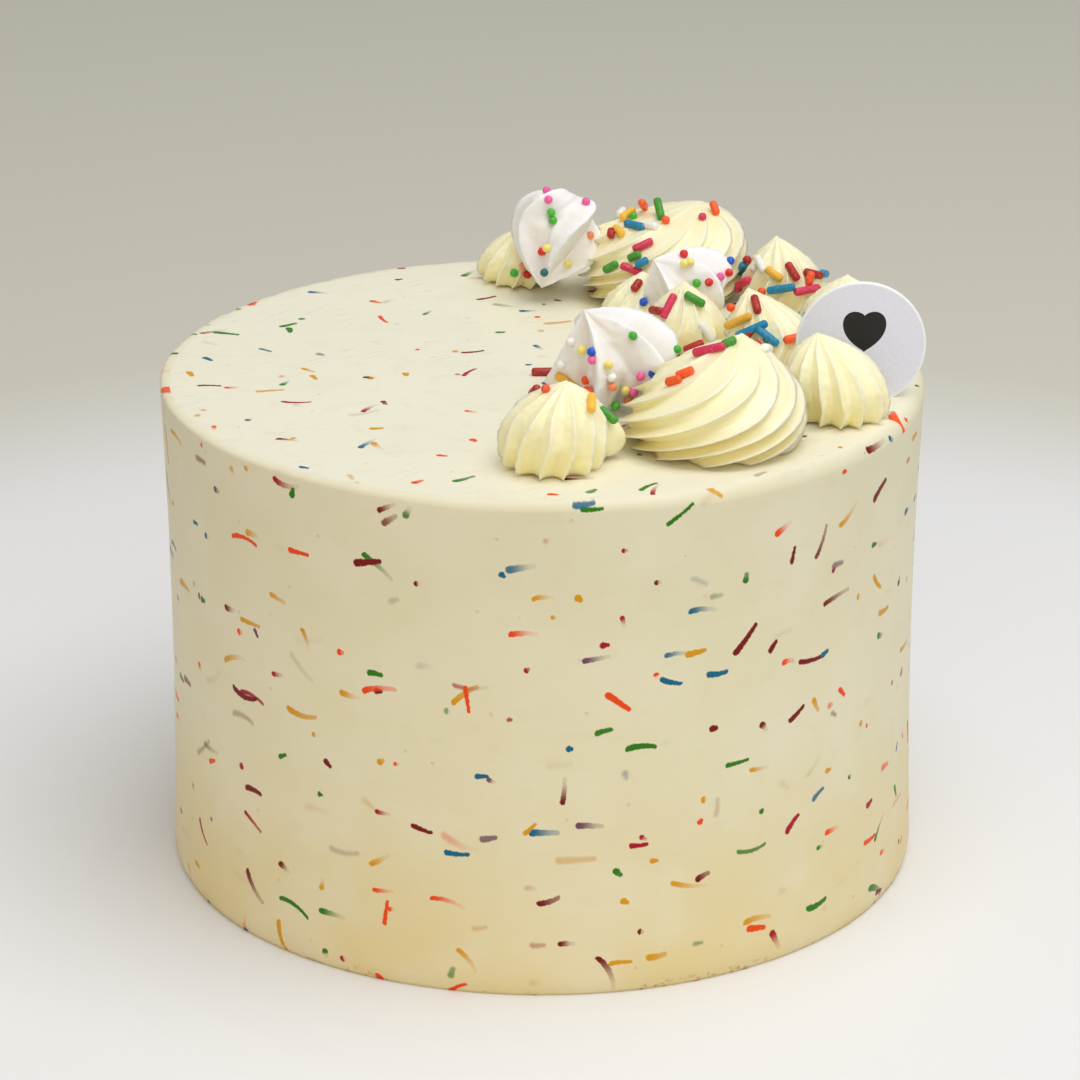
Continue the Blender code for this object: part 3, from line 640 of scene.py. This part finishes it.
SPRINKLES = {
    "piped_star_front_left": (
        ("yellow", 327, 0.61, 25, 5.0, 0), ("brown", 130, 0.56, 60, 4.0, 0),
        ("orange", 108, 0.59), ("orange", 201, 0.75)),
    "piped_rosette_front": (
        ("raspberry", 204, 0.72, 60, 6.5, 0), ("green", 231, 0.81, 66, 3.0, 0),
        ("orange", 216, 0.54, 60, 3.6, 0), ("orange", 213, 0.48, 54, 3.4, 0),
        ("white", 27, 0.63, 150, 6.0, 0)),
    "piped_star_middle": (
        ("brown", 207, 0.42, 12, 3.8, 0), ("raspberry", 230, 0.50, 105, 5.6, 0),
        ("green", 296, 0.60, 130, 4.6, 0), ("white", 300, 0.24, 115, 4.6, 0),
        ("brown", 279, 0.12, 24, 4.4, 0)),
    "piped_star_centre_right": (
        ("brown", 267, 0.66, 108, 4.6, 0), ("yellow", 220, 0.44, 35, 6.2, 0),
        ("teal", 245, 0.38, 30, 7.0, 4), ("teal", 267, 0.33, 138, 5.4, 0),
        ("orange", 306, 0.30, 6, 5.6, 0), ("teal", 5, 0.34, 30, 5.0, 0),
        ("brown", 237, 0.33, 54, 3.0, 0), ("green", 240, 0.22), ("red", 252, 0.25),
        ("teal", 264, 0.30), ("orange", 183, 0.54)),
    "piped_star_far_right": (
        ("yellow", 345, 0.20),),
    "piped_star_back_right": (
        ("brown", 322, 0.36, 155, 4.6, 0), ("brown", 284, 0.42, 105, 4.4, 0),
        ("orange", 306, 0.33, 60, 3.0, 25), ("raspberry", 297, 0.24, 0, 6.4, 0),
        ("teal", 264, 0.26, 15, 6.0, 0), ("yellow", 252, 0.40, 145, 4.2, 0),
        ("white", 222, 0.48, 138, 4.6, 0), ("raspberry", 198, 0.24, 30, 5.0, 0),
        ("teal", 162, 0.30, 42, 5.2, 0), ("brown", 165, 0.42, 24, 3.4, 0),
        ("teal", 354, 0.30, 156, 4.0, 0), ("orange", 237, 0.21), ("raspberry", 183, 0.15),
        ("white", 202, 0.40)),
    "piped_rosette_back": (
        ("orange", 177, 0.75, 6, 5.8, 25), ("green", 213, 0.78, 132, 5.6, 25),
        ("teal", 213, 0.66, 174, 5.0, 0), ("yellow", 177, 0.69, 144, 4.8, 0),
        ("yellow", 207, 0.60, 156, 3.6, 0), ("brown", 204, 0.57, 126, 2.6, 0),
        ("white", 147, 0.60, 0, 3.6, 0), ("white", 231, 0.69, 18, 3.6, 0),
        ("raspberry", 243, 0.54, 48, 4.6, 0), ("green", 228, 0.33, 54, 3.6, 0),
        ("green", 243, 0.45, 48, 3.0, 0), ("teal", 250, 0.43, 30, 3.0, 0),
        ("raspberry", 243, 0.37, 156, 4.8, 0), ("orange", 327, 0.81, 66, 3.2, 30),
        ("orange", 240, 0.75), ("green", 186, 0.69), ("raspberry", 294, 0.78)),
    "piped_star_hidden": (
        ("brown", 250, 0.62, 75, 3.0, 0),),
    "piped_star_back_left": (
        ("peach", 272, 0.30), ("green", 262, 0.20), ("red", 280, 0.18), ("yellow", 240, 0.76)),
    "meringue_front": (
        ("yellow", 198, 0.27, 120, 5.2, 0), ("orange", 240, 0.24, 18, 3.6, 0),
        ("orange", 211, 0.12), ("orange", 228, 0.27), ("green", 333, 0.48),
        ("green", 18, 0.06), ("yellow", 222, 0.51), ("blue", 261, 0.54), ("pink", 258, 0.48),
        ("yellow", 273, 0.42), ("pink", 306, 0.21), ("blue", 315, 0.21), ("peach", 267, 0.27),
        ("yellow", 279, 0.15), ("green", 258, 0.09), ("white", 270, 0.33), ("pink", 291, 0.12),
        ("peach", 279, 0.06), ("white", 204, 0.60), ("white", 198, 0.42)),
    "meringue_back_left": (
        ("pink", 69, 0.08), ("pink", 66, 0.13), ("green", 60, 0.20), ("green", 54, 0.25),
        ("red", 63, 0.51), ("yellow", 50, 0.49), ("teal", 42, 0.72), ("yellow", 342, 0.54),
        ("peach", 327, 0.24), ("pink", 6, 0.06)),
    "meringue_middle": (
        ("red", 30, 0.51), ("yellow", 333, 0.57), ("yellow", 336, 0.53), ("blue", 21, 0.09),
        ("pink", 357, 0.12), ("green", 310, 0.35), ("red", 318, 0.29), ("red", 9, 0.06),
        ("blue", 192, 0.42)),
}
ICING_RODS = (
    ("brown", (0.2, -3.2, 0.55), 0, 0, 4.6),
    ("orange", (68.3, -29.6, -1.0), -24, 58, 4.6),
    ("green", (12.3, -54.0, 9.2), -24, 34, 4.2),
)


def sprinkle_place(swirl, compass, rise, heading, stand, length):
    """Where a sprinkle lies on a swirl: its long axis along X of the returned frame."""
    height = 1 - (1 - rise) ** 1.6
    turned = math.radians(swirl["turn"]) * (1 - (1 - height) ** 2)
    column = math.radians(compass - swirl["phase"]) - turned
    bed = 1.0
    if length and "tilt" not in swirl:
        wide = swirl["radius"] > WIDE_SWIRL
        bed = 0.85 if wide else 0.7 - 0.4 * abs(math.cos(math.radians(heading)))
    bedded = dict(swirl, groove=swirl["groove"] * bed)
    here = swirl_point(bedded, column, rise, 0)
    level = swirl_point(bedded, column + 0.1, rise, 0) - swirl_point(bedded, column - 0.1, rise, 0)
    uphill = swirl_point(bedded, column, rise + 0.03, 0) - swirl_point(
        bedded, column, rise - 0.03, 0)
    outward = level.cross(uphill).normalized()
    level.normalize()
    uphill = outward.cross(level)
    angle = math.radians(heading)
    along = level * math.cos(angle) + uphill * math.sin(angle)
    side = outward.cross(along)
    lift = math.radians(stand)
    along = along * math.cos(lift) + outward * math.sin(lift)
    up = along.cross(side)
    raised = ROD_RADIUS * math.cos(lift) - SPRINKLE_SINK * (1 + math.sin(lift))
    centre = here + outward * (raised + length / 2 * math.sin(lift))
    frame_here = Matrix((along, side, up)).transposed().to_4x4()
    return swirl_place(swirl) @ Matrix.Translation(centre) @ frame_here


def all_sprinkles():
    """Every sprinkle as its colour, its place and its length, 0 for a ball."""
    for name, swirl in {**SWIRLS, **MERINGUES}.items():
        for colour, compass, rise, *rod in SPRINKLES.get(name, ()):
            heading, length, stand = rod if rod else (0, 0, 0)
            yield colour, sprinkle_place(swirl, compass, rise, heading, stand, length), length
    for colour, at, heading, slope, length in ICING_RODS:
        turn = Matrix.Rotation(math.radians(heading), 4, "Z")
        tip = Matrix.Rotation(math.radians(slope), 4, "Y")
        centre = Matrix.Translation((at[0], at[1], at[2] + CAKE_HEIGHT))
        yield colour, centre @ turn @ tip, length


def scatter(name, material, wants_rods):
    """All the rods or all the balls as one piece, with their colours as an attribute."""
    bpy.ops.object.select_all(action="DESELECT")
    shapes = []
    for number, (colour, place, length) in enumerate(all_sprinkles()):
        if bool(length) != wants_rods:
            continue
        dice = random.Random(number)
        if length:
            bpy.ops.mesh.primitive_cylinder_add(
                vertices=ROD_SIDES, radius=ROD_RADIUS, depth=length, end_fill_type="NGON")
        else:
            bpy.ops.mesh.primitive_ico_sphere_add(subdivisions=3, radius=BALL_RADIUS)
        shape = bpy.context.object
        if length:
            softened = shape.modifiers.new("rounded ends", "BEVEL")
            softened.width = ROD_END_ROUNDING
            softened.segments = 3
            bpy.ops.object.modifier_apply(modifier="rounded ends")
            shape.data.transform(Matrix.Rotation(math.pi / 2, 4, "Y"))
        bow = dice.uniform(-ROD_BOW, ROD_BOW) if length else 0.0
        for vertex in shape.data.vertices:
            wobble = noise.noise(vertex.co * 0.9 + Vector((number * 3.7, 0, 0)))
            radial = Vector((0, vertex.co.y, vertex.co.z)) if length else vertex.co.copy()
            vertex.co += radial * (SUGAR_WOBBLE * wobble)
            vertex.co.z += bow * (vertex.co.x ** 2 - length ** 2 / 12)
        shape.data.transform(Matrix.Diagonal((MM, MM, MM, 1)) @ place)
        tint = dice.uniform(0.88, 1.06)
        dyes = ROD_COLOURS if length else BALL_COLOURS
        dyed = [min(1.0, part * tint) for part in linear(*dyes[colour])[:3]]
        paint = shape.data.color_attributes.new("dye", "FLOAT_COLOR", "POINT")
        for entry in paint.data:
            entry.color = (*dyed, 1.0)
        shapes.append(shape)
    bpy.ops.object.select_all(action="DESELECT")
    for shape in shapes:
        shape.select_set(True)
    bpy.context.view_layer.objects.active = shapes[0]
    bpy.ops.object.join()
    piece = bpy.context.object
    piece.name = piece.data.name = name
    piece.data.materials.clear()
    piece.data.materials.append(material)
    bpy.ops.object.shade_smooth()
    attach(piece, "root")
    return piece


sugar, tree, surface, place = new_material(
    "dyed sugar", 0.42, Subsurface_Weight=0.1, Subsurface_Scale=0.0008,
    Subsurface_Radius=(1.0, 0.6, 0.5), Specular_IOR_Level=0.5)
dye = shade(tree, "Attribute", attribute_name="dye").outputs["Color"]
speck = mottle(tree, place, 1.8, 3.0, 0.6)
worn = mix_colour(tree, step_between(tree, speck, 0.5, 0.8, 0.0, 0.16), dye,
                  linear(*WORN_SUGAR))
tree.links.new(worn, surface.inputs["Base Color"])
tree.links.new(step_between(tree, speck, 0.3, 0.7, 0.34, 0.52), surface.inputs["Roughness"])
raise_surface(tree, surface, mottle(tree, place, 1.3, 3.0, 0.6), 0.1)
scatter("sugar_rods", sugar, True)
scatter("sugar_balls", sugar, False)

# Card tag: a round of thick white card, printed with a pale wash and a plain heart inside
# a white border, pushed into the icing behind the right star so that it faces the front.
TAG_RADIUS = 12.7
TAG_SUNK = 2.2
TAG_CENTRE = (62.0, -15.8, CAKE_HEIGHT + TAG_RADIUS - TAG_SUNK)
TAG_WASH = (230, 231, 247)
TAG_WASH_PALER = (236, 237, 251)
TAG_BORDER = (248, 248, 250)
HEART_INK = (26, 26, 28)
HEART_SHIFT = (-0.6, 0.0, -2.2)
HEART_SCALE = 0.27
card, tree, surface, place = new_material("printed card", 0.5, Specular_IOR_Level=0.4)
from_middle = shade(tree, "VectorMath", place, TAG_CENTRE, operation="SUBTRACT").outputs[0]
level = shade(tree, "VectorMath", from_middle, (1.0, 0.0, 1.0), operation="MULTIPLY").outputs[0]
from_middle_out = shade(tree, "VectorMath", level, operation="LENGTH").outputs["Value"]
border = step_between(tree, from_middle_out, TAG_RADIUS - 0.55, TAG_RADIUS - 0.35)
fibre = mottle(tree, place, 2.2, 4.0, 0.6)
wash = mix_colour(tree, step_between(tree, fibre, 0.35, 0.65), linear(*TAG_WASH),
                  linear(*TAG_WASH_PALER))
shifted = shade(tree, "VectorMath", from_middle, HEART_SHIFT, operation="ADD").outputs[0]
across_up = shade(tree, "SeparateXYZ", shade(
    tree, "VectorMath", shifted, (HEART_SCALE, 0.0, HEART_SCALE),
    operation="MULTIPLY").outputs[0])
across, up = across_up.outputs[0], across_up.outputs[2]
level_square = sum_up(tree, "MULTIPLY", across, across)
ball = sum_up(tree, "SUBTRACT", sum_up(tree, "ADD", level_square, sum_up(
    tree, "MULTIPLY", up, up)), 1.0)
cleft = sum_up(tree, "MULTIPLY", level_square, sum_up(tree, "MULTIPLY", up, sum_up(
    tree, "MULTIPLY", up, up)))
heart = sum_up(tree, "SUBTRACT", sum_up(tree, "MULTIPLY", ball, sum_up(
    tree, "MULTIPLY", ball, ball)), cleft)
wash = mix_colour(tree, sum_up(tree, "LESS_THAN", heart, 0.0), wash, linear(*HEART_INK))
wash = mix_colour(tree, border, wash, linear(*TAG_BORDER))
tree.links.new(wash, surface.inputs["Base Color"])
raise_surface(tree, surface, fibre, 0.02)
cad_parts["card_tag"].material_slots[0].material = card

# Floor and light: a plain pale floor, a broad soft light above and a little to the right, a
# weaker one in front, a cool one low on the right and a faint warm glow near the floor.
FLOOR_RADIUS = 6.0
FLOOR_NEAR = (240, 239, 239)
FLOOR_FAR = (217, 213, 198)
FLOOR_BLEND = (210.0, 330.0)
ROOM_LIGHT = 0.44
bpy.ops.object.select_all(action="DESELECT")
bpy.ops.mesh.primitive_circle_add(vertices=96, radius=FLOOR_RADIUS, fill_type="NGON")
floor = bpy.context.object
floor.name = "floor"
paint, tree, surface, place = new_material("pale floor", 0.6)
axes = shade(tree, "SeparateXYZ", place)
flat_place = shade(tree, "CombineXYZ", axes.outputs[0], axes.outputs[1], 0.0).outputs[0]
from_axis = shade(tree, "VectorMath", flat_place, operation="LENGTH").outputs["Value"]
tone = mix_colour(tree, step_between(tree, from_axis, *FLOOR_BLEND), linear(*FLOOR_NEAR),
                  linear(*FLOOR_FAR))
tree.links.new(tone, surface.inputs["Base Color"])
floor.data.materials.append(paint)


def soft_light(name, at, aim, size, watts, colour):
    """A square area light aimed at a point."""
    lamp = bpy.data.lights.new(name, "AREA")
    lamp.size = size
    lamp.energy = watts
    lamp.color = colour
    made = bpy.data.objects.new(name, lamp)
    bpy.context.scene.collection.objects.link(made)
    made.location = at
    made.rotation_euler = (Vector(aim) - Vector(at)).to_track_quat("-Z", "Y").to_euler()
    made.visible_camera = False


soft_light("key", (0.22, -0.16, 1.0), (0, 0, 0.08), 0.8, 6.0, (1.0, 1.0, 1.0))
soft_light("cool_right", (0.9, -0.7, 0.35), (0, 0, 0.05), 0.6, 0.95, (0.86, 0.93, 1.0))
soft_light("front", (0.0, -1.1, 0.7), (0, 0, 0.09), 0.6, 1.6, (1.0, 0.99, 0.96))
soft_light("low_warm", (-0.3, -0.5, 0.02), (0, 0, 0.0), 0.4, 0.4, (1.0, 0.66, 0.22))
world = bpy.data.worlds.new("pale room")
bpy.context.scene.world = world
world.use_nodes = True
world.node_tree.nodes["Background"].inputs["Color"].default_value = (1.0, 1.0, 1.0, 1)
world.node_tree.nodes["Background"].inputs["Strength"].default_value = ROOM_LIGHT
